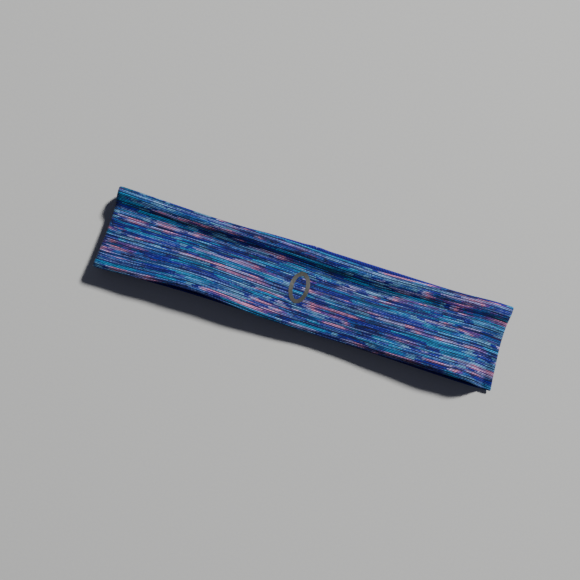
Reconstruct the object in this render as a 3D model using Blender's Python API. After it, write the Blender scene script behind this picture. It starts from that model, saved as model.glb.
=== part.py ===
"""Wide sports headband: a closed loop of double-layer stretch knit, lying flat.

The loop is two strips of knit, an outer one and a lining, sewn together along both long
edges and closed by one seam at the centre back. It lies with its front half on its back
half. Each strip is divided into sections where the cloth bends when the loop opens.

+X runs along the band, +Y across it and +Z up. The origin is the centre of the underside.
Lengths are in metres.
"""

import math

import bmesh
import bpy
from mathutils import Vector

MM = 0.001

# Driving dimensions
HALF_LENGTH = 120.8 * MM      # centre to a corner of the lying loop
WIDTH = 49.0 * MM             # nominal width of the band, which the seams are set out by
LEFT_CONCAVITY = 1.2 * MM     # how far the left fold curves in between its corners
RIGHT_CONCAVITY = 1.7 * MM    # the same at the right fold
FOLD_RUN = 5.6 * MM           # length along X of each rounded fold
PLY = 0.55 * MM               # thickness of one layer of knit
CLEARANCE = 0.3 * MM          # gap kept between touching layers
SEAM_THICKNESS = 0.4 * MM     # overlocked seam allowance
SEAM_WIDTH = 4.2 * MM         # how far the allowance reaches in from the edge
SEAM_INSET = 0.9 * MM         # from the folded edge to the seam
SEAM_FADE = 3.2 * MM          # over which the two layers close up again beyond the seam
SECTION_GAP = 0.3 * MM        # between the back panel and a fold
WING_GAP = 0.8 * MM           # each end of a wing, so that it can tilt
WING_RUN = 0.365              # share of the top that each wing takes

# The closing seam and the label that it holds
CLOSING_HALF_WIDTH = 5.0 * MM
CLOSING_HALF_LENGTH = 18.0 * MM
CLOSING_FADE = 3.0 * MM
LABEL_LENGTH = 12.0 * MM
LABEL_HALF_WIDTH = 9.0 * MM
LABEL_THICKNESS = 0.3 * MM

# The oval ring printed at the centre front
MARK_CENTRE_X = -3.0 * MM
MARK_CENTRE_Y = -0.4 * MM
MARK_HALF_WIDTH = 5.9 * MM
MARK_HALF_HEIGHT = 9.4 * MM
MARK_LINE = 2.4 * MM
MARK_THICKNESS = 0.3 * MM
MARK_SIDES = 36

# Shape of the cloth as it lies, in millimetres: (position along X, value)
FRONT_TOP = ((-121, 24.4), (-60, 25.0), (-12, 24.6), (29, 21.9), (60, 23.8), (82, 25.2), (121, 25.2))
BACK_TOP = ((-121, 24.4), (-60, 24.8), (0, 25.6), (40, 25.3), (82, 25.2), (121, 25.2))
FRONT_BOTTOM = (
    (-121, -24.3), (-97, -23.3), (-62, -20.6), (-19, -23.4), (6, -24.1), (54, -24.2), (100, -24.8), (121, -25.1)
)
BACK_BOTTOM = ((-121, -24.3), (-90, -23.4), (-55, -22.8), (6, -23.8), (60, -25.2), (121, -25.1))
RIDGE = ((-121, 14.9), (-60, 13.2), (0, 12.2), (40, 11.8), (121, 12.0))
VALLEY = ((-121, 10.6), (-60, 9.3), (0, 8.7), (40, 8.8), (80, 9.9), (121, 10.8))
CROWN = ((-121, 10.9), (-60, 11.4), (0, 10.2), (80, 12.0), (121, 9.6))
LOWER_EDGE = ((-121, 12.4), (-55, 13.6), (-19, 10.9), (6, 9.9), (30, 10.6), (78, 12.8), (103, 9.6), (121, 5.4))
RIDGE_FROM_EDGE = 4.0         # top of the raised lip, in from the upper edge
VALLEY_FROM_EDGE = 13.0       # bottom of the dip beside it
CROWN_Y = -4.0
ROLL = 4.0                    # width over which the lower edge rolls down
LIP_DROP = 1.2                # how far the upper edge rolls down from the lip
EDGE_DROP = 0.6               # the same at the lower edge

# How finely the cloth is divided
CREASE_DEGREES = 40.0         # edges sharper than this are shaded as corners
EDGE_CELLS = (0.0, 0.055, 0.11, 0.175)
MIDDLE_CELLS = 7
FOLD_ROWS = 8
WING_ROWS = 9
FRONT_ROWS = 7
SEAM_CELLS = (0.0, 0.5, 1.0)
BACK_ROWS = (0.0, 0.12, 0.25, 0.38, 0.458, 0.476, 0.524, 0.542, 0.62, 0.75, 0.88, 1.0)

COLOURS = {
    "outer": (0.030, 0.110, 0.330, 1.0),
    "lining": (0.020, 0.035, 0.140, 1.0),
    "seam": (0.030, 0.040, 0.120, 1.0),
    "label": (0.800, 0.790, 0.760, 1.0),
    "mark": (0.120, 0.120, 0.095, 1.0),
}
ROUGHNESS = {"outer": 0.85, "lining": 0.9, "seam": 0.95, "label": 0.6, "mark": 0.45}


def clear_scene():
    for obj in list(bpy.data.objects):
        bpy.data.objects.remove(obj)


def make_materials():
    made = {}
    for name, colour in COLOURS.items():
        material = bpy.data.materials.new(name)
        material.use_nodes = True
        shader = material.node_tree.nodes["Principled BSDF"]
        shader.inputs["Base Color"].default_value = colour
        shader.inputs["Roughness"].default_value = ROUGHNESS[name]
        shader.inputs["Metallic"].default_value = 0.0
        made[name] = material
    return made


def smooth(value):
    """0 below 0, 1 above 1 and a smooth rise between."""
    value = min(max(value, 0.0), 1.0)
    return value * value * (3.0 - 2.0 * value)


def mix(a, b, share):
    return a + (b - a) * share


def through(points, x):
    """The smooth curve through hand-placed points, level beyond the first and the last."""
    if x <= points[0][0]:
        return points[0][1]
    if x >= points[-1][0]:
        return points[-1][1]
    last = len(points) - 1
    slopes = [0.0] * len(points)
    for i in range(1, last):
        slopes[i] = (points[i + 1][1] - points[i - 1][1]) / (points[i + 1][0] - points[i - 1][0])
    for i in range(last):
        (x0, y0), (x1, y1) = points[i], points[i + 1]
        if x <= x1:
            break
    run = x1 - x0
    t = (x - x0) / run
    rise = y0 * (1 + 2 * t) * (1 - t) ** 2 + y1 * t * t * (3 - 2 * t)
    return rise + run * (slopes[i] * t * (1 - t) ** 2 - slopes[i + 1] * t * t * (1 - t))


def height(x, y):
    """Height of the cloth's upper surface above the floor, where the front half lies."""
    x, y = x / MM, y / MM
    top, bottom = through(FRONT_TOP, x), through(FRONT_BOTTOM, x)
    ridge, edge = through(RIDGE, x), through(LOWER_EDGE, x)
    across = (
        (bottom, edge - EDGE_DROP),
        (bottom + ROLL, edge),
        (CROWN_Y, through(CROWN, x)),
        (top - VALLEY_FROM_EDGE, through(VALLEY, x)),
        (top - RIDGE_FROM_EDGE, ridge),
        (top, ridge - LIP_DROP),
    )
    return through(across, y) * MM


def end_x(side, v):
    """X of the outermost point of a fold; v runs from 0 at the lower edge to 1 at the upper."""
    bulge = 4.0 * v * (1.0 - v)
    if side < 0:
        return -HALF_LENGTH + LEFT_CONCAVITY * bulge
    return HALF_LENGTH - RIGHT_CONCAVITY * bulge


def width_at(x, v, low, high):
    return mix(through(low, x / MM), through(high, x / MM), v) * MM


def top_point(t, v, depth):
    """A point of the front half: t runs from the left fold to the right one."""
    x = mix(end_x(-1, v) + FOLD_RUN, end_x(1, v) - FOLD_RUN, t)
    y = width_at(x, v, FRONT_BOTTOM, FRONT_TOP)
    return Vector((x, y, height(x, y) - depth))


def back_point(t, v, depth):
    """A point of the back half, which lies flat: t runs from the left fold to the right one."""
    x = mix(end_x(-1, v) + FOLD_RUN, end_x(1, v) - FOLD_RUN, t)
    y = width_at(x, v, BACK_BOTTOM, BACK_TOP)
    return Vector((x, y, depth))


def fold_point(side, t, v, depth):
    """A point of a fold: t runs from the front half round to the back half."""
    end = end_x(side, v)
    join = end - side * FOLD_RUN
    turn = math.pi * t
    x = join + side * (FOLD_RUN - depth) * math.sin(turn)
    upper = width_at(join, v, FRONT_BOTTOM, FRONT_TOP)
    lower = width_at(join, v, BACK_BOTTOM, BACK_TOP)
    y = mix(upper, lower, t)
    middle = height(join, upper) / 2.0
    return Vector((x, y, middle + (middle - depth) * math.cos(turn)))


def left_fold(t, v, depth):
    return fold_point(-1, t, v, depth)


def right_fold(t, v, depth):
    return fold_point(1, t, v, depth)


def seam_share(v):
    """1 beside the edge seams, 0 in the middle of the panel."""
    inwards = min(v, 1.0 - v) * WIDTH
    return 1.0 - smooth((inwards - SEAM_INSET - SEAM_WIDTH - CLEARANCE) / SEAM_FADE)


def closing_share(x):
    """1 over the closing seam at the centre back, 0 away from it."""
    return 1.0 - smooth((abs(x) - CLOSING_HALF_WIDTH - CLEARANCE) / CLOSING_FADE)


def lining_depth(region, t, v):
    """How deep under the outer surface the lining starts."""
    share = seam_share(v)
    if region is back_point:
        share = max(share, closing_share(back_point(t, v, 0.0).x))
    return PLY + CLEARANCE + share * (SEAM_THICKNESS + CLEARANCE)


def slab(name, point, rows, columns, near, far, material):
    """A closed sheet over a grid of (row, column), from depth near(t, v) to depth far(t, v)."""
    mesh = bmesh.new()
    layers = []
    for depth in (near, far):
        layers.append([[mesh.verts.new(point(t, v, depth(t, v))) for v in columns] for t in rows])
    outer, inner = layers
    last_row, last_column = len(rows) - 1, len(columns) - 1
    for i in range(last_row):
        for j in range(last_column):
            for layer in layers:
                a, b, c, d = layer[i][j], layer[i + 1][j], layer[i + 1][j + 1], layer[i][j + 1]
                mesh.faces.new((a, b, c))
                mesh.faces.new((a, c, d))
    for i in range(last_row):
        for j in (0, last_column):
            mesh.faces.new((outer[i][j], outer[i + 1][j], inner[i + 1][j], inner[i][j]))
    for j in range(last_column):
        for i in (0, last_row):
            mesh.faces.new((outer[i][j], outer[i][j + 1], inner[i][j + 1], inner[i][j]))
    return add_object(name, mesh, material)


def add_object(name, mesh, material):
    """Turns a finished bmesh into a named object with its faces pointing out."""
    bmesh.ops.recalc_face_normals(mesh, faces=mesh.faces[:])
    data = bpy.data.meshes.new(name)
    mesh.to_mesh(data)
    mesh.free()
    data.materials.append(material)
    data.shade_smooth()
    data.set_sharp_from_angle(angle=math.radians(CREASE_DEGREES))
    obj = bpy.data.objects.new(name, data)
    bpy.context.scene.collection.objects.link(obj)
    return obj


def steps(start, end, count):
    return [mix(start, end, i / count) for i in range(count + 1)]


def across_panel():
    """Columns from the lower edge to the upper: close together over the seams."""
    middle = steps(EDGE_CELLS[-1], 1.0 - EDGE_CELLS[-1], MIDDLE_CELLS)
    return list(EDGE_CELLS[:-1]) + middle + [1.0 - v for v in reversed(EDGE_CELLS[:-1])]


def across_seam(upper):
    """Columns of an edge seam, between its folded side and its raw side."""
    columns = [(SEAM_INSET + share * SEAM_WIDTH) / WIDTH for share in SEAM_CELLS]
    return [1.0 - v for v in reversed(columns)] if upper else columns


def constant(value):
    return lambda t, v: value


def section_rows(kind):
    """Rows of each section along the loop, short of its neighbours by the gap between them."""
    run = 2.0 * (HALF_LENGTH - FOLD_RUN)
    wing_gap, gap = WING_GAP / run, SECTION_GAP / run
    if kind == "back_panel":
        inner = [t for t in BACK_ROWS if 0.0 < t < 1.0]
        return [gap] + inner + [1.0 - gap]
    if kind == "left_wing":
        return steps(wing_gap, WING_RUN - wing_gap, WING_ROWS)
    if kind == "right_wing":
        return steps(1.0 - WING_RUN + wing_gap, 1.0 - wing_gap, WING_ROWS)
    if kind == "front_panel":
        return steps(WING_RUN, 1.0 - WING_RUN, FRONT_ROWS)
    return steps(0.0, 1.0, FOLD_ROWS)


def build_strips(materials):
    """The outer strip, the lining and the two edge seams, section by section."""
    regions = {
        "left_fold": left_fold,
        "back_panel": back_point,
        "right_fold": right_fold,
        "left_wing": top_point,
        "front_panel": top_point,
        "right_wing": top_point,
    }
    panel = across_panel()
    seam_near = PLY + CLEARANCE
    for section, region in regions.items():
        rows = section_rows(section)

        def lining_near(t, v, region=region):
            return lining_depth(region, t, v)

        def lining_far(t, v, region=region):
            return lining_depth(region, t, v) + PLY

        slab("outer_" + section, region, rows, panel, constant(0.0), constant(PLY), materials["outer"])
        slab("lining_" + section, region, rows, panel, lining_near, lining_far, materials["lining"])
        for side in ("upper", "lower"):
            slab(
                f"{side}_seam_{section}",
                region,
                rows,
                across_seam(side == "upper"),
                constant(seam_near),
                constant(seam_near + SEAM_THICKNESS),
                materials["seam"],
            )


def add_box(name, low, high, material):
    mesh = bmesh.new()
    bmesh.ops.create_cube(mesh, size=1.0)
    low, high = Vector(low), Vector(high)
    size, centre = high - low, (low + high) / 2.0
    for vert in mesh.verts:
        vert.co = centre + Vector(vert.co[i] * size[i] for i in range(3))
    return add_object(name, mesh, material)


def build_closing_seam(materials):
    """The pressed-open allowance at the centre back, between the two layers."""
    floor = PLY + CLEARANCE
    low = (-CLOSING_HALF_WIDTH, -CLOSING_HALF_LENGTH, floor)
    high = (CLOSING_HALF_WIDTH, CLOSING_HALF_LENGTH, floor + SEAM_THICKNESS)
    add_box("closing_seam", low, high, materials["seam"])


def build_label(materials):
    """The care label: one short edge in the closing seam, the rest lying on the lining."""
    floor = 2.0 * PLY + 2.0 * CLEARANCE + SEAM_THICKNESS + CLEARANCE
    low = (0.0, -LABEL_HALF_WIDTH, floor)
    high = (LABEL_LENGTH, LABEL_HALF_WIDTH, floor + LABEL_THICKNESS)
    add_box("care_label", low, high, materials["label"])


def build_mark(materials):
    """A plain oval ring that follows the cloth at the centre front."""

    def ring_point(t, v, depth):
        turn = 2.0 * math.pi * t
        x = MARK_CENTRE_X + (MARK_HALF_WIDTH - v * MARK_LINE) * math.cos(turn)
        y = MARK_CENTRE_Y + (MARK_HALF_HEIGHT - v * MARK_LINE) * math.sin(turn)
        return Vector((x, y, height(x, y) + CLEARANCE + depth))

    mesh = bmesh.new()
    rings = []
    for v, depth in ((0.0, 0.0), (0.0, MARK_THICKNESS), (1.0, MARK_THICKNESS), (1.0, 0.0)):
        rings.append([mesh.verts.new(ring_point(i / MARK_SIDES, v, depth)) for i in range(MARK_SIDES)])
    for ring, following in zip(rings, rings[1:] + rings[:1]):
        for i in range(MARK_SIDES):
            j = (i + 1) % MARK_SIDES
            mesh.faces.new((ring[i], ring[j], following[j], following[i]))
    add_object("front_mark", mesh, materials["mark"])


def main():
    clear_scene()
    materials = make_materials()
    build_strips(materials)
    build_closing_seam(materials)
    build_label(materials)
    build_mark(materials)


main()
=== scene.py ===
import math

import bpy
import numpy as np
from bpy.props import FloatProperty, FloatVectorProperty, IntProperty, PointerProperty
from mathutils import Matrix, Vector


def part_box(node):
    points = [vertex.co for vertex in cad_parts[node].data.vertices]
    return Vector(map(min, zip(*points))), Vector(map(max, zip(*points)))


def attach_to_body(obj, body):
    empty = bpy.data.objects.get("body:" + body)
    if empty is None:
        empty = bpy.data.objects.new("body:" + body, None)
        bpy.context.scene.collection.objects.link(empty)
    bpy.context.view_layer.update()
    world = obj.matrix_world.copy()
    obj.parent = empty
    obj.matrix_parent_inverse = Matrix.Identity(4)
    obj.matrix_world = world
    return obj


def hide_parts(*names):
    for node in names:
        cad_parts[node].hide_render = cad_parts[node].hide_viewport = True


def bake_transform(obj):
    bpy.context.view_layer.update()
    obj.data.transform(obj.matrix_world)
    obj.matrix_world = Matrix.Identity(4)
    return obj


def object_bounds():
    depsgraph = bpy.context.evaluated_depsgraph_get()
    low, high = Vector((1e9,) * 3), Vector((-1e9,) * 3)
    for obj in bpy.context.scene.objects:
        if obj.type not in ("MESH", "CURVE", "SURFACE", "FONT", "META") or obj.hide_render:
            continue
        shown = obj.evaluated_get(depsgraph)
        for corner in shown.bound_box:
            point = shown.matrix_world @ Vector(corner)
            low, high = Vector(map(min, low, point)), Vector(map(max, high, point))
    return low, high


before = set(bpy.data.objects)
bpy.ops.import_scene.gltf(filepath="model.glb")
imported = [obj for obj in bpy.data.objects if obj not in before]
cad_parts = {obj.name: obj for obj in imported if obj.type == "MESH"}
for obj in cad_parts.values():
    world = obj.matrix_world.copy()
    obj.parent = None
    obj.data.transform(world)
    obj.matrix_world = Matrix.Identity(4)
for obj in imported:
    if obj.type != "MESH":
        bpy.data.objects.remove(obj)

bl_info = {
    "name": "Stretch knit headband",
    "version": (1, 0, 0),
    "blender": (4, 5, 0),
    "location": "3D View > Sidebar > Headband",
    "description": "A wide double-layer sports headband in space-dyed knit, lying flat",
    "category": "Object",
}

CAD_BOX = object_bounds()
MM = 0.001

# ---------------------------------------------------------------- the band as it lies
HALF_LENGTH = 120.8
LEFT_CONCAVITY = 1.2
RIGHT_CONCAVITY = 2.3
LEFT_SLANT = (-0.4, 1.2)     # how far the bottom and the top of each end lean along X
RIGHT_SLANT = (1.7, -1.2)
FOLD_RUN = 5.6
FOLD_ARC = 18.0              # cloth that goes round each fold
WALL = 2.1                   # both layers and the seam between them, at the edges
SEAM_STEP = 0.7              # how much thinner the wall is away from the seams
SEAM_REACH = 5.4
SEAM_FADE = 3.2
WIDTH = 49.4                 # nominal width, which the columns across are spaced by
CLOSING_REACH = 5.3
CLOSING_FADE = 3.0
SEAM_BULK = 0.5              # how far the closing seam pushes out the long edges

# Outlines and heights in millimetres: (position along X, value)
FRONT_TOP = (
    (-121, 24.9), (-95, 24.3), (-58, 23.5), (-30, 23.9), (-10, 23.6), (36, 22.3), (62, 23.3),
    (90, 24.6), (108, 25.6), (121, 25.5),
)
BACK_TOP = (
    (-121, 24.9), (-85, 24.0), (-50, 24.0), (-25, 25.0), (0, 25.3), (40, 25.1), (82, 24.9),
    (108, 25.6), (121, 25.5),
)
FRONT_BOTTOM = (
    (-121, -24.3), (-97, -23.2), (-62, -20.6), (-19, -23.4), (6, -24.0), (54, -23.8), (85, -23.6),
    (106, -23.6), (121, -25.2),
)
BACK_BOTTOM = (
    (-121, -24.3), (-90, -23.4), (-55, -22.9), (6, -23.8), (60, -24.8), (108, -25.8), (121, -25.4),
)
RIDGE = ((-121, 14.6), (-60, 12.9), (0, 11.9), (40, 11.6), (121, 11.9))
VALLEY = ((-121, 10.9), (-60, 8.5), (0, 8.0), (40, 7.8), (80, 8.9), (121, 9.8))
CROWN = ((-121, 11.9), (-60, 11.4), (0, 10.2), (80, 12.0), (121, 9.2))
LOWER_EDGE = (
    (-121, 12.6), (-88, 13.9), (-62, 15.1), (-34, 13.8), (-4, 11.1), (22, 10.2), (50, 12.2), (86, 14.6),
    (101, 13.8), (107, 13.0), (112, 9.6), (117, 3.5), (121, 2.2),
)
EDGE_DROP = (
    (-121, 1.0), (-80, 0.8), (-30, 0.8), (30, 1.3), (64, 2.0), (86, 1.6), (102, 0.7), (121, 0.5),
)
RIDGE_FROM_EDGE = 4.4
VALLEY_FROM_EDGE = 12.6
CROWN_Y = -4.0
ROLL = 3.0
LIP_DROP = 1.2
FOLD_LIFT = 0.42             # how far above the middle the folds' outermost line lies
RIPPLES = (                  # height, turn for each millimetre along X and along Y, phase
    (0.12, 0.21, 0.17, 0.0),
    (0.08, 0.093, -0.31, 1.3),
)
SETTLING = 0.2               # how far the whole front half sinks
HALF_GAP = 0.08              # half of the gap between front and back where they are pressed flat
THINNEST = 0.2               # least share of its thickness that the wall keeps when pressed
BULK_REACH = 9.0             # how far from the closing seam its bulk reaches
OUTER_TURN = 104.0           # how far each layer goes round a long edge, in degrees
LINING_TURN = 70.0
ROLL_OUT = 0.95              # how far the lining rolls over the top edge of the back, in radians
ROLL_OUT_START = -104.0      # where along the back it starts to, measured from the closing seam
ROLL_OUT_RISE = 24.0
ROLL_OUT_END = 24.0
ROLL_OUT_FALL = 44.0
CLOSING_DIP = 0.3            # how deep the skin dips as it turns into the closing seam
CLOSING_DIP_RUN = 0.9
FOLD_STEP = 0.4              # spacing of the mesh round the folds, as a share of that elsewhere
SHORTEST_STRETCH = 0.5

# Distance along the loop from the closing seam at the centre back, in millimetres
HALF_RUN = HALF_LENGTH - FOLD_RUN
FOLD_START = HALF_RUN
FRONT_START = FOLD_START + FOLD_ARC
FRONT_END = FRONT_START + 2 * HALF_RUN
FOLD_END = FRONT_END + FOLD_ARC
LOOP = FOLD_END + HALF_RUN
WING_ROOT = 9.2              # the wings start this far in from the folds
WING_TIP = 85.2              # and end here, where the front panel starts
SEAM_EDGE = 0.06             # how near each end comes to the closing seam

SECTIONS = {
    "back_left": (SEAM_EDGE, FRONT_START + WING_ROOT),
    "wing_left": (FRONT_START + WING_ROOT, FRONT_START + WING_TIP),
    "front": (FRONT_START + WING_TIP, FRONT_END - WING_TIP),
    "wing_right": (FRONT_END - WING_TIP, FRONT_END - WING_ROOT),
    "back_right": (FRONT_END - WING_ROOT, LOOP - SEAM_EDGE),
}
CAD_SECTIONS = {
    "back_left": ("left_fold", "back_panel"),
    "wing_left": ("left_wing",),
    "front": ("front_panel",),
    "wing_right": ("right_wing",),
    "back_right": ("right_fold",),
}
BLENDS = {
    "wing_left": ((-0.1045, 0, 0), (-0.0301, 0, 0)),
    "wing_right": ((0.1045, 0, 0), (0.0301, 0, 0)),
}


# ---------------------------------------------------------------- settings
class BandSizes(bpy.types.PropertyGroup):
    ply: FloatProperty(
        name="Cloth", description="Thickness of one layer of knit", default=0.00052, unit="LENGTH"
    )
    row_pitch: FloatProperty(
        name="Row pitch", description="Height of one knitted row", default=0.00064, unit="LENGTH"
    )
    stitch_pitch: FloatProperty(
        name="Stitch pitch", description="Width of one stitch", default=0.00078, unit="LENGTH"
    )
    row_relief: FloatProperty(
        name="Row relief", description="How far each row stands out", default=0.00007, unit="LENGTH"
    )
    run_step: FloatProperty(
        name="Step along", description="Spacing of the mesh along the band", default=0.0016, unit="LENGTH"
    )
    cuts_per_row: IntProperty(
        name="Cuts per row", description="Mesh columns across each knitted row", default=4, min=2
    )


def colour_property(name, description, value):
    return FloatVectorProperty(
        name=name, description=description, subtype="COLOR", size=3, min=0.0, max=1.0, default=value
    )


class BandColours(bpy.types.PropertyGroup):
    navy: colour_property("Navy", "Darkest stretch of the yarn", (0.0022, 0.003, 0.05))
    royal: colour_property("Royal", "Royal blue stretch of the yarn", (0.001, 0.0035, 0.15))
    blue: colour_property("Blue", "Middle blue stretch of the yarn", (0.004, 0.048, 0.21))
    teal: colour_property("Teal", "Teal stretch of the yarn", (0.002, 0.125, 0.285))
    sky: colour_property("Sky", "Greyed light blue stretch of the yarn", (0.05, 0.15, 0.28))
    lilac: colour_property("Lilac", "Pale lilac stretch of the yarn", (0.155, 0.145, 0.33))
    coral: colour_property("Coral", "Coral pink stretch of the yarn", (0.33, 0.12, 0.225))
    mauve: colour_property("Mauve", "Purple stretch of the yarn", (0.060, 0.018, 0.160))
    shade: colour_property("Shade", "Dark stretch of the second yarn", (0.0025, 0.005, 0.070))
    heather: colour_property("Heather", "Pale stitches", (0.150, 0.215, 0.380))
    rose: colour_property("Rose", "Greyed pink either side of the coral", (0.13, 0.07, 0.19))
    lining: colour_property("Lining", "Plain royal blue of the lining", (0.0065, 0.0075, 0.195))
    mark: colour_property("Mark", "Grey-olive transfer film", (0.036, 0.037, 0.032))
    label: colour_property("Label", "Satin of the care label", (0.780, 0.780, 0.760))


class StageSettings(bpy.types.PropertyGroup):
    floor: colour_property("Floor", "Pale floor", (0.520, 0.530, 0.525))
    key: FloatProperty(name="Key light", description="Power of the key light", default=290.0, unit="POWER")
    fill: FloatProperty(name="Fill", description="Strength of the even light all round", default=0.096)
    view_span: FloatProperty(
        name="View", description="Width that the camera sees", default=0.3422, unit="LENGTH"
    )


class BandSettings(bpy.types.PropertyGroup):
    sizes: PointerProperty(type=BandSizes)
    colours: PointerProperty(type=BandColours)
    stage: PointerProperty(type=StageSettings)


def settings():
    return bpy.context.scene.headband


# ---------------------------------------------------------------- shape of the cloth
def smooth(value):
    value = np.clip(value, 0.0, 1.0)
    return value * value * (3.0 - 2.0 * value)


def mix(a, b, share):
    return a + (b - a) * share


def cubic(x, x0, x1, y0, y1, slope0, slope1):
    """Value at x of the cubic from (x0, y0) to (x1, y1) with the given slopes."""
    run = x1 - x0
    t = np.clip((x - x0) / run, 0.0, 1.0)
    value = y0 * (1 + 2 * t) * (1 - t) ** 2 + y1 * t * t * (3 - 2 * t)
    return value + run * (slope0 * t * (1 - t) ** 2 - slope1 * t * t * (1 - t))


def through(points, x):
    """The smooth curve through points whose places and values may each be arrays."""
    places = [p[0] for p in points]
    values = [p[1] for p in points]
    last = len(points) - 1
    slopes = [0.0] * len(points)
    for i in range(1, last):
        slopes[i] = (values[i + 1] - values[i - 1]) / (places[i + 1] - places[i - 1])
    result = values[0] + 0.0 * x
    for i in range(last):
        part = cubic(x, places[i], places[i + 1], values[i], values[i + 1], slopes[i], slopes[i + 1])
        result = np.where(x > places[i], part, result)
    return result


def height(x, y):
    """Height of the upper surface above the floor, where the front half lies."""
    top, bottom = through(FRONT_TOP, x), through(FRONT_BOTTOM, x)
    ridge, edge = through(RIDGE, x), through(LOWER_EDGE, x)
    across = (
        (bottom, edge - through(EDGE_DROP, x)),
        (bottom + ROLL, edge),
        (CROWN_Y, through(CROWN, x)),
        (top - VALLEY_FROM_EDGE, through(VALLEY, x)),
        (top - RIDGE_FROM_EDGE, ridge),
        (top, ridge - LIP_DROP),
    )
    ripple = sum(tall * np.sin(along * x + aside * y + phase) for tall, along, aside, phase in RIPPLES)
    return through(across, y) + ripple - SETTLING


def end_x(side, v):
    """Where along X the left or the right end lies, at the share v across."""
    bulge = 4.0 * v * (1.0 - v)
    concavity = LEFT_CONCAVITY if side < 0 else RIGHT_CONCAVITY
    lean = mix(*(LEFT_SLANT if side < 0 else RIGHT_SLANT), v)
    return side * (HALF_LENGTH - concavity * bulge) + lean


def thinning(x, y):
    """Share of its full thickness that the wall has where the loop is pressed flat."""
    room = height(x, y) / 2.0 - HALF_GAP
    return np.clip(room / WALL, THINNEST, 1.0)


def place(run, v, depth):
    """Point in metres, from the distance along the loop, the share across and the depth in the wall."""
    run, v, depth = np.broadcast_arrays(run, v, depth)
    left, right = end_x(-1, v) + FOLD_RUN, end_x(1, v) - FOLD_RUN
    on_left = run < LOOP / 2
    join = np.where(on_left, left, right)
    side = np.where(on_left, -1.0, 1.0)
    # the back half, which lies flat
    from_seam = np.where(on_left, run, LOOP - run)
    back_share = 0.5 + 0.5 * side * np.clip(from_seam / HALF_RUN, 0.0, 1.0)
    back_x = mix(left, right, back_share)
    back_y = mix(through(BACK_BOTTOM, back_x), through(BACK_TOP, back_x), v)
    # the front half
    front_share = np.clip((run - FRONT_START) / (FRONT_END - FRONT_START), 0.0, 1.0)
    front_x = mix(left, right, front_share)
    front_y = mix(through(FRONT_BOTTOM, front_x), through(FRONT_TOP, front_x), v)
    front_z = height(front_x, front_y)
    # the folds, from the front half round to the back half
    past_front = np.where(on_left, FRONT_START - run, run - FRONT_END)
    turn = math.pi * np.clip(past_front / FOLD_ARC, 0.0, 1.0)
    upper = mix(through(FRONT_BOTTOM, join), through(FRONT_TOP, join), v)
    lower = mix(through(BACK_BOTTOM, join), through(BACK_TOP, join), v)
    middle = height(join, upper) / 2.0
    thin = depth * thinning(join, upper)
    fold_x = join + side * (FOLD_RUN - thin) * np.sin(turn)
    fold_y = mix(upper, lower, turn / math.pi)
    fold_z = middle + (middle - thin) * (np.cos(turn) + FOLD_LIFT * np.sin(turn) ** 2)
    bulk = SEAM_BULK * (1.0 - smooth(from_seam / BULK_REACH))
    back_y = back_y + bulk * (2.0 * v - 1.0)
    in_front = (run >= FRONT_START) & (run <= FRONT_END)
    in_back = from_seam <= HALF_RUN
    x = np.where(in_front, front_x, np.where(in_back, back_x, fold_x))
    y = np.where(in_front, front_y, np.where(in_back, back_y, fold_y))
    front_low = front_z - depth * thinning(front_x, front_y)
    back_z = depth * thinning(back_x, back_y)
    z = np.where(in_front, front_low, np.where(in_back, back_z, fold_z))
    return np.stack((x, y, z), axis=-1) * MM


# ---------------------------------------------------------------- sheets swept along the loop
def seam_share(across):
    """1 over the edge seams and 0 between them, from the distance across in millimetres."""
    inwards = np.minimum(across, WIDTH - across)
    return 1.0 - smooth((inwards - SEAM_REACH) / SEAM_FADE)


def closing_share(run):
    """1 over the closing seam and 0 away from it, on the back half."""
    from_seam = np.minimum(run, LOOP - run)
    return 1.0 - smooth((from_seam - CLOSING_REACH) / CLOSING_FADE)


def edge_columns(pitch, cuts, reach):
    """(across, turn, distance) of columns from one turned edge to the other.

    turn is how far round the edge a column has gone, signed by the edge, and distance is
    measured along the cloth's surface, so that the knitted rows keep their pitch."""
    radius = WALL / 2.0
    step = pitch / cuts
    arc = radius * reach
    flat = WIDTH - 2.0 * radius
    count = int(round((flat + 2.0 * arc) / step))
    distance = np.linspace(-arc, flat + arc, count + 1)
    across = radius + np.clip(distance, 0.0, flat)
    turn = np.where(distance < 0.0, distance, np.where(distance > flat, distance - flat, 0.0)) / radius
    return across, turn, distance + arc


def roll_out(run):
    """How far the lining rolls over the top edge of the back half, in radians."""
    signed = np.where(run < LOOP / 2, run, run - LOOP)
    rise = smooth((signed - ROLL_OUT_START) / ROLL_OUT_RISE)
    fall = smooth((signed - ROLL_OUT_END) / ROLL_OUT_FALL)
    return ROLL_OUT * rise * (1.0 - fall)


def ply_surface(run, across, turn, inset, lining):
    """Points of one face of a layer. inset is how far inside the wall's skin the face lies."""
    radius = WALL / 2.0 - inset
    share = np.where(turn > 0.0, turn / max(turn.max(), 1e-6), 0.0)
    turn = turn + (1.0 if lining else -1.0) * roll_out(run)[:, None] * share
    q = across + radius * np.sin(turn)
    depth = WALL / 2.0 - radius * np.cos(turn)
    if lining:
        near_seam = np.maximum(seam_share(across)[None, :], closing_share(run)[:, None])
        depth = WALL - depth - SEAM_STEP * (1.0 - near_seam)
    return place(run[:, None], q / WIDTH, depth)


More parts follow.
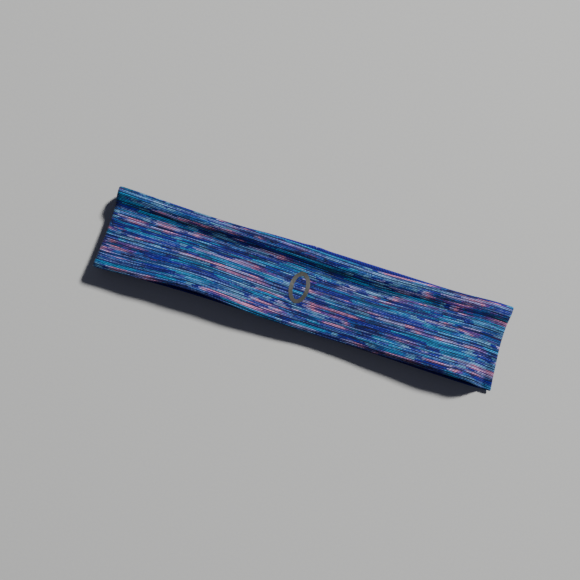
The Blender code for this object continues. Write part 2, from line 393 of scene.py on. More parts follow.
def run_stations(start, end, step):
    """Distances along the loop: close together round the folds and near the closing seam."""
    stops = [start]
    for stop in (FOLD_START, FRONT_START, FRONT_END, FOLD_END):
        if start + SHORTEST_STRETCH < stop < end - SHORTEST_STRETCH:
            stops.append(stop)
    stops.append(end)
    found = []
    for a, b in zip(stops, stops[1:]):
        in_fold = FOLD_START <= (a + b) / 2 <= FRONT_START or FRONT_END <= (a + b) / 2 <= FOLD_END
        share = FOLD_STEP if in_fold else 1.0
        count = max(2, int(round((b - a) / (step * share))))
        found.extend(np.linspace(a, b, count + 1)[:-1])
    found.append(end)
    return np.array(found)


def closing_roll(run):
    """How deep the cloth's skin dips as it turns into the closing seam."""
    from_seam = np.minimum(run, LOOP - run)
    dip = np.clip(1.0 - from_seam / CLOSING_DIP_RUN, 0.0, 1.0)
    return CLOSING_DIP * dip * dip


def swept_object(name, ring, run, distance, flipped):
    """A closed object from rings of points, one for each place along the run.

    Its UV map Cloth holds the run and the distance across, in metres of cloth."""
    rows, around = ring.shape[:2]
    index = np.arange(rows * around).reshape(rows, around)
    following = np.roll(index, -1, axis=1)
    quads = np.stack((index[:-1], index[1:], following[1:], following[:-1]), axis=-1).reshape(-1, 4)
    first, last = index[0], index[-1][::-1]
    if flipped:
        quads, first, last = quads[:, ::-1], first[::-1], last[::-1]
    loops = np.concatenate((quads.ravel(), first, last))
    starts = np.concatenate((np.arange(len(quads)) * 4, [len(quads) * 4, len(quads) * 4 + around]))
    mesh = bpy.data.meshes.new(name)
    mesh.vertices.add(rows * around)
    mesh.vertices.foreach_set("co", ring.ravel())
    mesh.loops.add(len(loops))
    mesh.loops.foreach_set("vertex_index", loops)
    mesh.polygons.add(len(starts))
    mesh.polygons.foreach_set("loop_start", starts)
    smooth_faces = np.ones(len(starts), bool)
    smooth_faces[-2:] = False
    mesh.polygons.foreach_set("use_smooth", smooth_faces)
    u = np.broadcast_to(run[:, None], (rows, around)) * MM
    v = np.broadcast_to(distance[None, :], (rows, around)) * MM
    uv = np.stack((u.ravel()[loops], v.ravel()[loops]), axis=-1)
    mesh.uv_layers.new(name="Cloth").data.foreach_set("uv", uv.ravel())
    mesh.update(calc_edges=True)
    # the edges round the two flat ends are sharp
    ends = np.empty(len(mesh.edges) * 2, np.int32)
    mesh.edges.foreach_get("vertices", ends)
    ends = ends.reshape(-1, 2)
    capped = ((ends < around).all(axis=1)) | ((ends >= (rows - 1) * around).all(axis=1))
    mesh.attributes.new("sharp_edge", "BOOLEAN", "EDGE").data.foreach_set("value", capped)
    obj = bpy.data.objects.new(name, mesh)
    bpy.context.scene.collection.objects.link(obj)
    return obj


def build_sheet(name, start, end, lining):
    """One section of the outer strip or of the lining, as a closed sheet with real thickness."""
    sizes = settings().sizes
    pitch, ply = sizes.row_pitch / MM, sizes.ply / MM
    relief = sizes.row_relief / MM
    reach = math.radians(LINING_TURN if lining else OUTER_TURN)
    across, turn, distance = edge_columns(pitch, sizes.cuts_per_row, reach)
    run = run_stations(start, end, sizes.run_step / MM)
    ridge = 0.5 - 0.5 * np.cos(2.0 * math.pi * distance / pitch)
    inset = relief * (1.0 - np.sqrt(ridge))
    skin_inset = inset[None, :] + closing_roll(run)[:, None]
    skin = ply_surface(run, across, turn, skin_inset, lining)
    # the hidden face has no rows, so it needs fewer columns
    columns = len(across)
    picked = np.unique(np.append(np.arange(0, columns, 2 * sizes.cuts_per_row), columns - 1))
    inner = ply_surface(run, across[picked], turn[picked], np.full(len(picked), ply), lining)
    ring = np.concatenate((skin, inner[:, ::-1]), axis=1)
    ring_distance = np.concatenate((distance, distance[picked][::-1]))
    return swept_object(name, ring, run, ring_distance, lining)


# ---------------------------------------------------------------- shader helpers
class Tree:
    """Short ways to add and join shader nodes."""

    def __init__(self, tree):
        self.tree = tree
        self.nodes = tree.nodes
        self.links = tree.links

    def add(self, kind, **values):
        node = self.nodes.new(kind)
        for key, value in values.items():
            setattr(node, key, value)
        return node

    def join(self, source, target):
        self.links.new(source, target)

    def feed(self, socket, value):
        if isinstance(value, bpy.types.NodeSocket):
            self.links.new(value, socket)
        else:
            socket.default_value = value

    def math(self, operation, a, b=0.0, c=0.0, clamp=False):
        node = self.add("ShaderNodeMath", operation=operation, use_clamp=clamp)
        for socket, value in zip(node.inputs, (a, b, c)):
            self.feed(socket, value)
        return node.outputs[0]

    def vector(self, x, y, z=0.0):
        node = self.add("ShaderNodeCombineXYZ")
        for socket, value in zip(node.inputs, (x, y, z)):
            self.feed(socket, value)
        return node.outputs[0]

    def mix_colour(self, share, a, b, blend="MIX"):
        node = self.add("ShaderNodeMix", data_type="RGBA", blend_type=blend)
        self.feed(node.inputs[0], share)
        self.feed(node.inputs[6], a)
        self.feed(node.inputs[7], b)
        return node.outputs[2]

    def noise(self, vector, scale, detail=1.0, dimensions="2D"):
        node = self.add("ShaderNodeTexNoise", noise_dimensions=dimensions)
        self.feed(node.inputs["Vector"], vector)
        node.inputs["Scale"].default_value = scale
        node.inputs["Detail"].default_value = detail
        return node.outputs["Fac"]

    def chance(self, vector):
        node = self.add("ShaderNodeTexWhiteNoise", noise_dimensions="2D")
        self.feed(node.inputs["Vector"], vector)
        return node.outputs["Value"]

    def total(self, parts, start=None):
        """Sum of values, each times its own share."""
        for value, share in parts:
            part = self.math("MULTIPLY", value, share)
            start = part if start is None else self.math("ADD", start, part)
        return start

    def object_place(self):
        return self.add("ShaderNodeTexCoord").outputs["Object"]


def new_group(name, inputs, outputs):
    group = bpy.data.node_groups.new(name, "ShaderNodeTree")
    for label, kind, value in inputs:
        socket = group.interface.new_socket(label, in_out="INPUT", socket_type=kind)
        if value is not None:
            socket.default_value = value
    for label, kind in outputs:
        group.interface.new_socket(label, in_out="OUTPUT", socket_type=kind)
    tree = Tree(group)
    return group, tree, tree.add("NodeGroupInput").outputs, tree.add("NodeGroupOutput").inputs


STITCH_STAGGER = 0.37        # how far each row's stitches are shifted from the last row's
STITCH_SLANT = 0.55          # how far a stitch leans over the height of its row
LOOP_ROUNDNESS = 0.6
TICK_LENGTH = 2.2            # stitches in one leaning tick
TICK_LEAN = 0.34             # ticks that each row is shifted by


def knit_group():
    """Rows and stitches of a fine jersey: which row and stitch a point is in, and their relief."""
    group, t, given, out = new_group(
        "Jersey stitches",
        (
            ("Cloth", "NodeSocketVector", None),
            ("Row pitch", "NodeSocketFloat", settings().sizes.row_pitch),
            ("Stitch pitch", "NodeSocketFloat", settings().sizes.stitch_pitch),
        ),
        (
            ("Row", "NodeSocketFloat"),
            ("Stitch", "NodeSocketFloat"),
            ("Row profile", "NodeSocketFloat"),
            ("Relief", "NodeSocketFloat"),
            ("Slant", "NodeSocketFloat"),
            ("Tick", "NodeSocketFloat"),
            ("Wale", "NodeSocketFloat"),
        ),
    )
    split = t.add("ShaderNodeSeparateXYZ")
    t.join(given["Cloth"], split.inputs[0])
    along, across = split.outputs[0], split.outputs[1]
    position = t.math("DIVIDE", across, given["Row pitch"])
    row = t.math("FLOOR", position)
    inside = t.math("SUBTRACT", position, row)
    profile = t.math("SINE", t.math("MULTIPLY", inside, math.pi))
    stagger = t.math("MULTIPLY", row, STITCH_STAGGER)
    slanted = t.math("MULTIPLY", inside, STITCH_SLANT)
    places = t.math("DIVIDE", along, given["Stitch pitch"])
    column = t.math("ADD", t.math("ADD", places, stagger), slanted)
    stitch = t.math("FLOOR", column)
    in_stitch = t.math("SUBTRACT", column, stitch)
    loop = t.math("SINE", t.math("MULTIPLY", in_stitch, math.pi))
    round_loop = t.math("POWER", loop, LOOP_ROUNDNESS)
    relief = t.math("MULTIPLY", round_loop, t.math("POWER", profile, LOOP_ROUNDNESS))
    t.join(row, out["Row"])
    t.join(stitch, out["Stitch"])
    t.join(profile, out["Row profile"])
    t.join(relief, out["Relief"])
    t.join(loop, out["Slant"])
    ticks = t.math("DIVIDE", places, TICK_LENGTH)
    leaning = t.math("SUBTRACT", ticks, t.math("MULTIPLY", position, TICK_LEAN))
    t.join(t.math("FLOOR", leaning), out["Tick"])
    wale = t.math("SINE", t.math("MULTIPLY", leaning, 2.0 * math.pi))
    t.join(t.math("ADD", 0.5, t.math("MULTIPLY", wale, 0.5)), out["Wale"])
    return group


PALETTE = (
    (0.00, "navy"), (0.04, "royal"), (0.20, "royal"), (0.212, "teal"), (0.36, "teal"), (0.38, "blue"),
    (0.47, "blue"), (0.485, "sky"), (0.57, "sky"), (0.582, "royal"), (0.66, "royal"), (0.675, "lilac"),
    (0.73, "lilac"), (0.745, "coral"), (0.795, "coral"), (0.815, "rose"), (0.845, "mauve"),
    (0.88, "mauve"), (0.895, "blue"), (0.95, "blue"), (0.98, "navy"),
)
ROWS_TO_BUNDLE = 2.7         # rows that were knitted from neighbouring stretches of the yarn
ROWS_TO_CONE = 5.9           # rows that were knitted from one cone of it
# How far each thing shifts a stitch along the dye's repeat, in repeats
CONE_SHIFT = 7.0
BUNDLE_SHIFT = 0.3
ROW_SHIFT = 0.06
DRIFT_SHIFT = 0.9
FRAY_SHIFT = 0.14
STITCH_SHIFT = 0.03
# Dark stretches: what makes one, and how it sets in
DARK_ROW = 0.62
DARK_FIRST_ROW = 0.25
DARK_FROM = 0.84
DARK_RISE = 2.4
DARKEST = 0.85
# Pale stitches, the same
PALE_ROW = 0.7
PALE_STRETCH = 0.6
PALE_STITCH = 0.22
PALE_FROM = 0.84
PALE_RISE = 3.0
# Lightness of a stitch, about its middle
LIGHT_ROW = 0.35
LIGHT_FLECK = 0.25
LIGHT_STRETCH = 1.6
LIGHT_FIRST_ROW = -0.25
LIGHT_STITCH = 0.25
LIGHT_MIDDLE = 0.40
DARKEST_LIGHT = 0.38
PALEST_LIGHT = 1.9


def dye_ramp(t, phase):
    """Colour of the yarn at each point of the dye's repeat."""
    colours = settings().colours
    ramp = t.add("ShaderNodeValToRGB")
    t.join(t.math("FRACT", phase), ramp.inputs[0])
    stops = ramp.color_ramp.elements
    while len(stops) > 1:
        stops.remove(stops[-1])
    for i, (at, name) in enumerate(PALETTE):
        stop = stops[0] if i == 0 else stops.new(at)
        stop.position = at
        stop.color = (*getattr(colours, name), 1.0)
    return ramp.outputs[0]


def space_dye_group():
    """Colour of a yarn dyed in stretches, which each knitted row shows along its length."""
    group, t, given, out = new_group(
        "Space-dyed yarn",
        (
            ("Cloth", "NodeSocketVector", None),
            ("Row", "NodeSocketFloat", 0.0),
            ("Stitch", "NodeSocketFloat", 0.0),
            ("Tick", "NodeSocketFloat", 0.0),
            ("Repeat", "NodeSocketFloat", 0.13),
            ("Heather", "NodeSocketFloat", 0.4),
            ("Contrast", "NodeSocketFloat", 0.6),
        ),
        (("Color", "NodeSocketColor"), ("Lightness", "NodeSocketFloat")),
    )
    colours = settings().colours
    split = t.add("ShaderNodeSeparateXYZ")
    t.join(given["Cloth"], split.inputs[0])
    along, row = split.outputs[0], given["Row"]

    def draw(lines, seed):
        return t.chance(t.vector(lines, seed))

    def streaks(each_metre, lines, each_line):
        place_in = t.vector(t.math("MULTIPLY", along, each_metre), t.math("MULTIPLY", lines, each_line))
        return t.noise(place_in, 1.0, 1.0)

    # which bundle of rows, and whether this is the first row of it
    position = t.math("DIVIDE", row, ROWS_TO_BUNDLE)
    bundle = t.math("FLOOR", position)
    cone = t.math("FLOOR", t.math("DIVIDE", row, ROWS_TO_CONE))
    first = t.math("LESS_THAN", t.math("FRACT", position), 1.0 / ROWS_TO_BUNDLE)
    shifts = (
        (draw(cone, 8.0), CONE_SHIFT),
        (draw(bundle, 5.0), BUNDLE_SHIFT),
        (draw(row, 11.0), ROW_SHIFT),
        (streaks(30.0, bundle, 0.9), DRIFT_SHIFT),
        (streaks(90.0, row, 0.7), FRAY_SHIFT),
        (t.chance(t.vector(row, given["Stitch"])), STITCH_SHIFT),
    )
    dyed = dye_ramp(t, t.total(shifts, t.math("DIVIDE", along, given["Repeat"])))
    # dark stretches, mostly along the first row of a bundle
    dark = t.total(((draw(row, 29.0), DARK_ROW), (first, DARK_FIRST_ROW), (streaks(22.0, row, 0.83), 1.0)))
    dark = t.math("MULTIPLY", t.math("SUBTRACT", dark, DARK_FROM, clamp=True), DARK_RISE)
    darkened = t.mix_colour(t.math("MINIMUM", dark, DARKEST), dyed, (*colours.shade, 1.0))
    # pale stitches
    fleck_row = t.math("FLOOR", t.math("DIVIDE", row, 3.0))
    fleck = t.chance(t.vector(fleck_row, t.math("ADD", given["Tick"], 0.5)))
    single = t.chance(t.vector(t.math("ADD", row, 5.0), t.math("MULTIPLY", given["Stitch"], 1.7)))
    light_row = draw(row, 47.0)
    stretch = streaks(40.0, row, 0.91)
    pale = t.total(((light_row, PALE_ROW), (stretch, PALE_STRETCH), (single, PALE_STITCH)))
    pale = t.math("MULTIPLY", t.math("SUBTRACT", pale, PALE_FROM, clamp=True), PALE_RISE)
    pale = t.math("MULTIPLY", t.math("MINIMUM", pale, 1.0), given["Heather"])
    t.join(t.mix_colour(pale, darkened, (*colours.heather, 1.0)), out["Color"])
    tone = t.total((
        (light_row, LIGHT_ROW),
        (fleck, LIGHT_FLECK),
        (t.math("SUBTRACT", stretch, 0.5), LIGHT_STRETCH),
        (first, LIGHT_FIRST_ROW),
        (single, LIGHT_STITCH),
    ))
    tone = t.math("MULTIPLY", t.math("SUBTRACT", tone, LIGHT_MIDDLE), given["Contrast"])
    lightness = t.math("MAXIMUM", t.math("ADD", 1.0, tone), DARKEST_LIGHT)
    t.join(t.math("MINIMUM", lightness, PALEST_LIGHT), out["Lightness"])
    return group


def group_node(tree, group, **values):
    node = tree.add("ShaderNodeGroup", node_tree=group)
    for label, value in values.items():
        tree.feed(node.inputs[label.replace("_", " ")], value)
    return node


def new_material(name, roughness, sheen=0.0, specular=0.35):
    material = bpy.data.materials.new(name)
    material.use_nodes = True
    tree = Tree(material.node_tree)
    shader = tree.nodes["Principled BSDF"]
    shader.inputs["Roughness"].default_value = roughness
    shader.inputs["Specular IOR Level"].default_value = specular
    shader.inputs["Sheen Weight"].default_value = sheen
    shader.inputs["Sheen Roughness"].default_value = 0.5
    return material, tree, shader


def bump(tree, shader, relief, strength, distance):
    node = tree.add("ShaderNodeBump")
    node.inputs["Strength"].default_value = strength
    node.inputs["Distance"].default_value = distance
    tree.join(relief, node.inputs["Height"])
    tree.join(node.outputs["Normal"], shader.inputs["Normal"])


def knit_base(tree, groups):
    sizes = settings().sizes
    cloth = tree.add("ShaderNodeUVMap", uv_map="Cloth").outputs[0]
    stitches = group_node(
        tree, groups["knit"], Cloth=cloth, Row_pitch=sizes.row_pitch, Stitch_pitch=sizes.stitch_pitch
    )
    return cloth, stitches.outputs


WALE_SHADE = 0.85             # how strongly the leaning lines of stitches show


def shade_stitches(tree, colour, stitches, lightness, depth):
    """Darkens the gaps between rows and stitches, as the loops shade each other."""
    rows = tree.math("MULTIPLY", stitches["Row profile"], depth)
    loops = tree.math("MULTIPLY", stitches["Slant"], depth * 0.6)
    shade = tree.math("ADD", tree.math("ADD", rows, loops), 1.0 - 0.9 * depth)
    wales = tree.math("ADD", 1.0 - 0.5 * WALE_SHADE, tree.math("MULTIPLY", stitches["Wale"], WALE_SHADE))
    shade = tree.math("MULTIPLY", tree.math("MULTIPLY", shade, lightness), wales)
    grey = tree.add("ShaderNodeCombineColor")
    for socket in grey.inputs[:3]:
        tree.join(shade, socket)
    return tree.mix_colour(1.0, colour, grey.outputs[0], "MULTIPLY")


def outer_material(groups):
    material, tree, shader = new_material("Space-dyed jersey", 0.82, sheen=0.06, specular=0.25)
    cloth, stitches = knit_base(tree, groups)
    yarn = group_node(
        tree, groups["dye"], Cloth=cloth, Row=stitches["Row"], Stitch=stitches["Stitch"],
        Tick=stitches["Tick"], Heather=0.3, Contrast=1.35
    )
    colour = shade_stitches(tree, yarn.outputs["Color"], stitches, yarn.outputs["Lightness"], 0.55)
    tree.join(colour, shader.inputs["Base Color"])
    bump(tree, shader, stitches["Relief"], 0.6, 0.00008)
    return material


def lining_material(groups):
    material, tree, shader = new_material("Royal blue jersey", 0.85, sheen=0.05, specular=0.25)
    cloth, stitches = knit_base(tree, groups)
    colours = settings().colours
    own = tree.chance(tree.vector(stitches["Row"], 3.0))
    tone = tree.mix_colour(
        tree.math("MULTIPLY", own, 0.5), (*colours.lining, 1.0), (*colours.navy, 1.0)
    )
    colour = shade_stitches(tree, tone, stitches, 1.0, 0.5)
    tree.join(colour, shader.inputs["Base Color"])
    bump(tree, shader, stitches["Relief"], 0.6, 0.00008)
    return material


def thread_material():
    material, tree, shader = new_material("Overlocked seam", 0.9, sheen=0.05, specular=0.2)
    place_in = tree.object_place()
    fuzz = tree.noise(place_in, 2600.0, 2.0, "3D")
    colours = settings().colours
    tone = tree.mix_colour(fuzz, (*colours.navy, 1.0), (*colours.lining, 1.0))
    tree.join(tone, shader.inputs["Base Color"])
    bump(tree, shader, fuzz, 0.5, 0.0001)
    return material


def label_material():
    material, tree, shader = new_material("White satin ribbon", 0.42, sheen=0.1, specular=0.5)
    place_in = tree.object_place()
    wave = tree.add("ShaderNodeTexWave", wave_type="BANDS", bands_direction="Y")
    tree.join(place_in, wave.inputs["Vector"])
    wave.inputs["Scale"].default_value = 900.0
    wave.inputs["Distortion"].default_value = 0.4
    colours = settings().colours
    shade = tuple(0.86 * c for c in colours.label)
    tone = tree.mix_colour(wave.outputs["Fac"], (*shade, 1.0), (*colours.label, 1.0))
    tree.join(tone, shader.inputs["Base Color"])
    bump(tree, shader, wave.outputs["Fac"], 0.3, 0.00004)
    return material


def mark_material():
    material, tree, shader = new_material("Matt film", 0.42, specular=0.6)
    place_in = tree.object_place()
    grain = tree.noise(place_in, 3200.0, 3.0, "3D")
    worn = tree.noise(place_in, 420.0, 2.0, "3D")
    colours = settings().colours
    pale = tuple(min(1.0, 1.9 * c) for c in colours.mark)
    dark = tuple(0.55 * c for c in colours.mark)
    tone = tree.mix_colour(grain, (*dark, 1.0), (*pale, 1.0))
    tone = tree.mix_colour(tree.math("MULTIPLY", worn, 0.4), tone, (*colours.mark, 1.0))
    tree.join(tone, shader.inputs["Base Color"])
    tree.join(tree.math("ADD", 0.34, tree.math("MULTIPLY", grain, 0.22)), shader.inputs["Roughness"])
    bump(tree, shader, grain, 0.5, 0.00005)
    return material


MADE = {}                    # finished materials and node groups, by name


def material(name):
    """The finished material of that name, made the first time it is asked for."""
    makers = {
        "outer": (lambda: outer_material(shared_groups())),
        "lining": (lambda: lining_material(shared_groups())),
        "thread": thread_material,
        "label": label_material,
        "mark": mark_material,
    }
    if name not in MADE:
        MADE[name] = makers[name]()
    return MADE[name]


def shared_groups():
    if "groups" not in MADE:
        MADE["groups"] = {"knit": knit_group(), "dye": space_dye_group()}
    return MADE["groups"]


def attach(obj, section):
    """Makes a section of the band follow the back or the front; a wing section in BLENDS only has its
    place applied to its mesh.
    """
    if section in BLENDS:
        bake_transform(obj)
    else:
        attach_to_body(obj, "front" if section == "front" else "back")


# ---------------------------------------------------------------- operators
class HEADBAND_OT_outer(bpy.types.Operator):
    """Make the outer strip of space-dyed knit, section by section"""

    bl_idname = "headband.outer"
    bl_label = "Outer strip"

    def execute(self, context):
        for section, (start, end) in SECTIONS.items():
            piece = build_sheet("outer_" + section, start, end, False)
            piece.data.materials.append(material("outer"))
            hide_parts(*("outer_" + name for name in CAD_SECTIONS[section]))
            attach(piece, section)
        return {"FINISHED"}


class HEADBAND_OT_lining(bpy.types.Operator):
    """Make the lining, which faces the head"""

    bl_idname = "headband.lining"
    bl_label = "Lining"

    def execute(self, context):
        for section, (start, end) in SECTIONS.items():
            piece = build_sheet("lining_" + section, start, end, True)
            piece.data.materials.append(material("lining"))
            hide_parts(*("lining_" + name for name in CAD_SECTIONS[section]))
            attach(piece, section)
        return {"FINISHED"}


SEAM_INSET = 1.0
SEAM_WIDTH = 4.2
SEAM_DEPTHS = (0.82, 1.28)
SEAM_STATION = 1.0           # spacing of the mesh along it
SEAM_COLUMNS = (0.0, 0.35, 0.7, 1.0)
SEAM_LOOSENESS = (0.0, 0.2, 0.6, 1.0)    # how far each column follows the raw edge's zigzag
ZIGZAG = 0.18
ZIGZAG_RATE = 2.9


def build_seam(name, start, end, upper):
    """A folded-down overlocked allowance with a loose zigzag raw edge."""
    run = run_stations(start, end, SEAM_STATION)
    inwards = np.array(SEAM_COLUMNS) * SEAM_WIDTH + SEAM_INSET
    wobble = ZIGZAG * np.sin(run * ZIGZAG_RATE)[:, None] * np.array(SEAM_LOOSENESS)[None, :]
    q = inwards[None, :] + wobble
    if upper:
        q = WIDTH - q
    sides = [place(run[:, None], q / WIDTH, np.full_like(q, depth)) for depth in SEAM_DEPTHS]
    ring = np.concatenate((sides[0], sides[1][:, ::-1]), axis=1)
    rows, around = ring.shape[:2]
    faces = []
    for i in range(rows - 1):
        for j in range(around):
            k = (j + 1) % around
            faces.append((i * around + j, (i + 1) * around + j, (i + 1) * around + k, i * around + k))
    last = (rows - 1) * around
    faces.append(tuple(range(around)))
    faces.append(tuple(range(last + around - 1, last - 1, -1)))
    if upper:
        faces = [face[::-1] for face in faces]
    mesh = bpy.data.meshes.new(name)
    mesh.from_pydata(ring.reshape(-1, 3).tolist(), [], faces)
    mesh.update()
    obj = bpy.data.objects.new(name, mesh)
    bpy.context.scene.collection.objects.link(obj)
    return obj


class HEADBAND_OT_seams(bpy.types.Operator):
    """Make the overlocked seams inside both long edges, and finish the closing seam"""

    bl_idname = "headband.seams"
    bl_label = "Seams"

    def execute(self, context):
        for side in ("upper", "lower"):
            for section, (start, end) in SECTIONS.items():
                piece = build_seam(f"{side}_seam_{section}", start, end, side == "upper")
                piece.data.materials.append(material("thread"))
                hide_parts(*(f"{side}_seam_{name}" for name in CAD_SECTIONS[section]))
                attach(piece, section)
        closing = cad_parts["closing_seam"]
        closing.data.materials.clear()
        closing.data.materials.append(material("thread"))
        return {"FINISHED"}


def deselect_all():
    bpy.ops.object.select_all(action="DESELECT")


def finish_piece(obj, name):
    """Applies an object's place to its mesh and names it."""
    deselect_all()
    obj.select_set(True)
    bpy.context.view_layer.objects.active = obj
    bpy.ops.object.transform_apply(location=True, rotation=True, scale=True)
    obj.name = name
    obj.data.name = name
    return obj


LABEL_MARGIN = 0.0001         # how far inside its box the ribbon stays, in metres
RIBBON = 0.00008              # thickness of the ribbon, in metres
RIBBON_FOLD = 0.94            # share of the way along at which the ribbon starts to fold back
RIBBON_FOLD_RUN = 0.12
RIBBON_END = 0.97
RIBBON_FLATNESS = 0.72


class HEADBAND_OT_label(bpy.types.Operator):
    """Make the blank care label, a ribbon folded in half with its cut ends in the closing seam"""

    bl_idname = "headband.label"
    bl_label = "Care label"

    def execute(self, context):
        low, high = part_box("care_label")
        size, centre = high - low, (low + high) / 2
        deselect_all()
        bpy.ops.mesh.primitive_grid_add(
            x_subdivisions=24, y_subdivisions=12, size=1.0, location=(0.0, 0.0, 0.0)
        )
        obj = context.active_object
        half, radius = size.x - LABEL_MARGIN, size.z / 2 - LABEL_MARGIN / 2
        for vert in obj.data.vertices:
            share = vert.co.x + 0.5
            across = vert.co.y * (size.y - 2 * LABEL_MARGIN)
            way = share * 2.0
            along = half * min(way, 2.0 - way)
            turn = math.pi * min(max((way - RIBBON_FOLD) / RIBBON_FOLD_RUN, 0.0), 1.0)
            bulge = radius * math.sin(turn)
            rise = -radius * math.cos(turn)
            x = low.x + min(along, half * RIBBON_END) + bulge
            vert.co = (x, centre.y + across, centre.z + rise * RIBBON_FLATNESS)
        obj.data.update()
        solid = obj.modifiers.new("Ribbon", "SOLIDIFY")
        solid.thickness = RIBBON
        solid.offset = 0.0
        bpy.ops.object.modifier_apply(modifier=solid.name)
        piece = finish_piece(obj, "woven_care_label")
        bpy.ops.object.shade_smooth_by_angle(angle=math.radians(40.0))
        piece.data.materials.clear()
        piece.data.materials.append(material("label"))
        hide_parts("care_label")
        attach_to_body(piece, "label")
        return {"FINISHED"}


MARK_SIDES = 96
MARK_LINE = 0.0024            # width of the ring's line, in metres
MARK_CUTS = 4                 # steps that the line's width is made in
MARK_FROM = 0.03              # height that the ring is dropped onto the cloth from
FILM = 0.00009                # thickness of the film, in metres


class HEADBAND_OT_mark(bpy.types.Operator):
    """Make the plain oval ring printed at the centre front"""

    bl_idname = "headband.mark"
    bl_label = "Front mark"

    def execute(self, context):
        low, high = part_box("front_mark")
        size, centre = high - low, (low + high) / 2
        deselect_all()
        bpy.ops.mesh.primitive_circle_add(
            vertices=MARK_SIDES, radius=0.5, fill_type="NOTHING", location=(centre.x, centre.y, MARK_FROM)
        )
        obj = context.active_object
        obj.scale = (size.x, size.y, 1.0)
        bpy.ops.object.transform_apply(location=False, rotation=False, scale=True)
        bpy.ops.object.mode_set(mode="EDIT")
        bpy.ops.mesh.select_all(action="SELECT")
        for step in range(1, MARK_CUTS + 1):
            bpy.ops.mesh.extrude_edges_move()
            before = 2 * (step - 1) * MARK_LINE / MARK_CUTS
            after = 2 * step * MARK_LINE / MARK_CUTS
            shrink = ((size.x - after) / (size.x - before), (size.y - after) / (size.y - before), 1.0)
            bpy.ops.transform.resize(value=shrink, center_override=(centre.x, centre.y, MARK_FROM))
        bpy.ops.object.mode_set(mode="OBJECT")
        wrap = obj.modifiers.new("Lay on cloth", "SHRINKWRAP")
        wrap.target = bpy.data.objects["outer_front"]
        wrap.wrap_method = "PROJECT"
        wrap.use_project_z = True
        wrap.use_negative_direction = True
        wrap.use_positive_direction = False
        wrap.offset = 0.00004
        bpy.ops.object.modifier_apply(modifier=wrap.name)
        film = obj.modifiers.new("Film", "SOLIDIFY")
        film.thickness = FILM
        film.offset = 1.0
        bpy.ops.object.modifier_apply(modifier=film.name)
        bpy.ops.object.mode_set(mode="EDIT")
        bpy.ops.mesh.select_all(action="SELECT")
        bpy.ops.mesh.normals_make_consistent(inside=False)
        bpy.ops.object.mode_set(mode="OBJECT")
        piece = finish_piece(obj, "oval_mark")
        bpy.ops.object.shade_smooth_by_angle(angle=math.radians(50.0))
        piece.data.materials.clear()
        piece.data.materials.append(material("mark"))
        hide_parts("front_mark")
        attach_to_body(piece, "front")
        return {"FINISHED"}


VIEW_RIGHT = Vector((0.955, 0.297, 0.0))
VIEW_CENTRE = Vector((-0.0077, -0.0034, 0.0))
LENS = 50.0
SENSOR = 36.0
KEY_FROM = Vector((0.63, 1.12, 1.0))
KEY_DISTANCE = 4.0
KEY_SIZE = 0.45
KEY_COLOUR = (1.0, 0.98, 0.95)
FILL_COLOUR = (0.70, 0.73, 1.0, 1.0)
FLOOR_SIZE = 6.0
FLOOR_GAP = 0.0001            # keeps the floor clear of the cloth, in metres
FLOOR_MOTTLE = 0.04           # how far the floor's grain goes from its colour


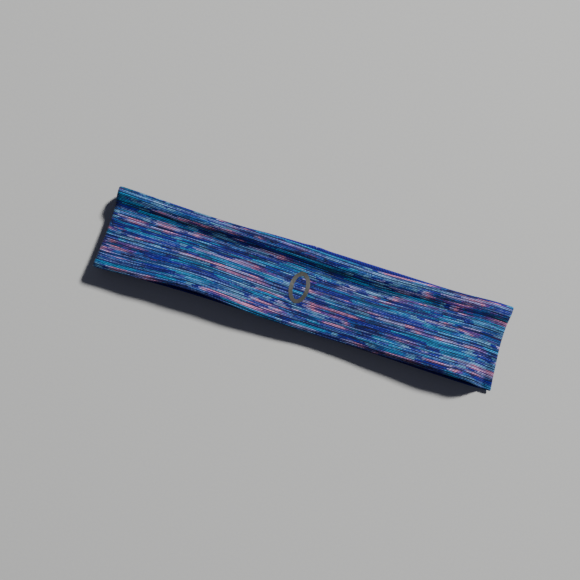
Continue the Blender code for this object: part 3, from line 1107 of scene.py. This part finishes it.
class HEADBAND_OT_stage(bpy.types.Operator):
    """Lay a pale floor, set the lights and put the camera overhead"""

    bl_idname = "headband.stage"
    bl_label = "Stage"

    def execute(self, context):
        stage = settings().stage
        deselect_all()
        # the floor
        bpy.ops.mesh.primitive_plane_add(size=FLOOR_SIZE, location=(0.0, 0.0, CAD_BOX[0][2] - FLOOR_GAP))
        floor = context.active_object
        floor.name = "floor"
        finish = bpy.data.materials.new("Pale floor")
        finish.use_nodes = True
        tree = Tree(finish.node_tree)
        shader = tree.nodes["Principled BSDF"]
        place_in = tree.object_place()
        grain = tree.noise(place_in, 700.0, 3.0, "3D")
        light = tuple(min(1.0, (1.0 + FLOOR_MOTTLE) * c) for c in stage.floor)
        dark = tuple((1.0 - FLOOR_MOTTLE) * c for c in stage.floor)
        tree.join(tree.mix_colour(grain, (*dark, 1.0), (*light, 1.0)), shader.inputs["Base Color"])
        shader.inputs["Roughness"].default_value = 0.9
        shader.inputs["Specular IOR Level"].default_value = 0.2
        floor.data.materials.append(finish)
        # the lights
        bpy.ops.object.light_add(type="AREA", location=KEY_FROM.normalized() * KEY_DISTANCE)
        key = context.active_object
        key.name = "key_softbox"
        key.data.energy = stage.key
        key.data.size = KEY_SIZE
        key.data.color = KEY_COLOUR
        key.rotation_euler = KEY_FROM.to_track_quat("Z", "Y").to_euler()
        world = bpy.data.worlds.new("Soft light all round")
        world.use_nodes = True
        tree = Tree(world.node_tree)
        fill = tree.nodes["Background"]
        fill.inputs[0].default_value = FILL_COLOUR
        fill.inputs[1].default_value = stage.fill
        wall = tree.add("ShaderNodeBackground")
        wall.inputs[0].default_value = (*stage.floor, 1.0)
        seen = tree.add("ShaderNodeLightPath").outputs["Is Camera Ray"]
        either = tree.add("ShaderNodeMixShader")
        tree.join(seen, either.inputs[0])
        tree.join(fill.outputs[0], either.inputs[1])
        tree.join(wall.outputs[0], either.inputs[2])
        tree.join(either.outputs[0], tree.nodes["World Output"].inputs[0])
        context.scene.world = world
        # the camera, overhead
        bpy.ops.object.camera_add()
        camera = context.active_object
        camera.name = "camera"
        camera.data.lens = LENS
        camera.data.sensor_width = SENSOR
        distance = stage.view_span * LENS / SENSOR
        up = Vector((0.0, 0.0, 1.0)).cross(VIEW_RIGHT)
        turn = Matrix((VIEW_RIGHT, up, (0.0, 0.0, 1.0))).transposed()
        camera.matrix_world = Matrix.Translation(VIEW_CENTRE + Vector((0, 0, distance))) @ turn.to_4x4()
        camera.data.clip_start = 0.01
        context.scene.camera = camera
        return {"FINISHED"}


class HEADBAND_PT_panel(bpy.types.Panel):
    """The steps that make the headband"""

    bl_label = "Headband"
    bl_idname = "HEADBAND_PT_panel"
    bl_space_type = "VIEW_3D"
    bl_region_type = "UI"
    bl_category = "Headband"

    def draw(self, context):
        for operator in STEPS:
            self.layout.operator(operator.bl_idname)


STEPS = (
    HEADBAND_OT_stage,
    HEADBAND_OT_outer,
    HEADBAND_OT_lining,
    HEADBAND_OT_seams,
    HEADBAND_OT_label,
    HEADBAND_OT_mark,
)
CLASSES = (BandSizes, BandColours, StageSettings, BandSettings, *STEPS, HEADBAND_PT_panel)


def register():
    for item in CLASSES:
        bpy.utils.register_class(item)
    bpy.types.Scene.headband = PointerProperty(type=BandSettings)


def unregister():
    del bpy.types.Scene.headband
    for item in reversed(CLASSES):
        bpy.utils.unregister_class(item)


def main():
    register()
    bpy.ops.headband.stage()
    bpy.ops.headband.outer()
    bpy.ops.headband.lining()
    bpy.ops.headband.seams()
    bpy.ops.headband.label()
    bpy.ops.headband.mark()


if __name__ == "__main__":
    main()
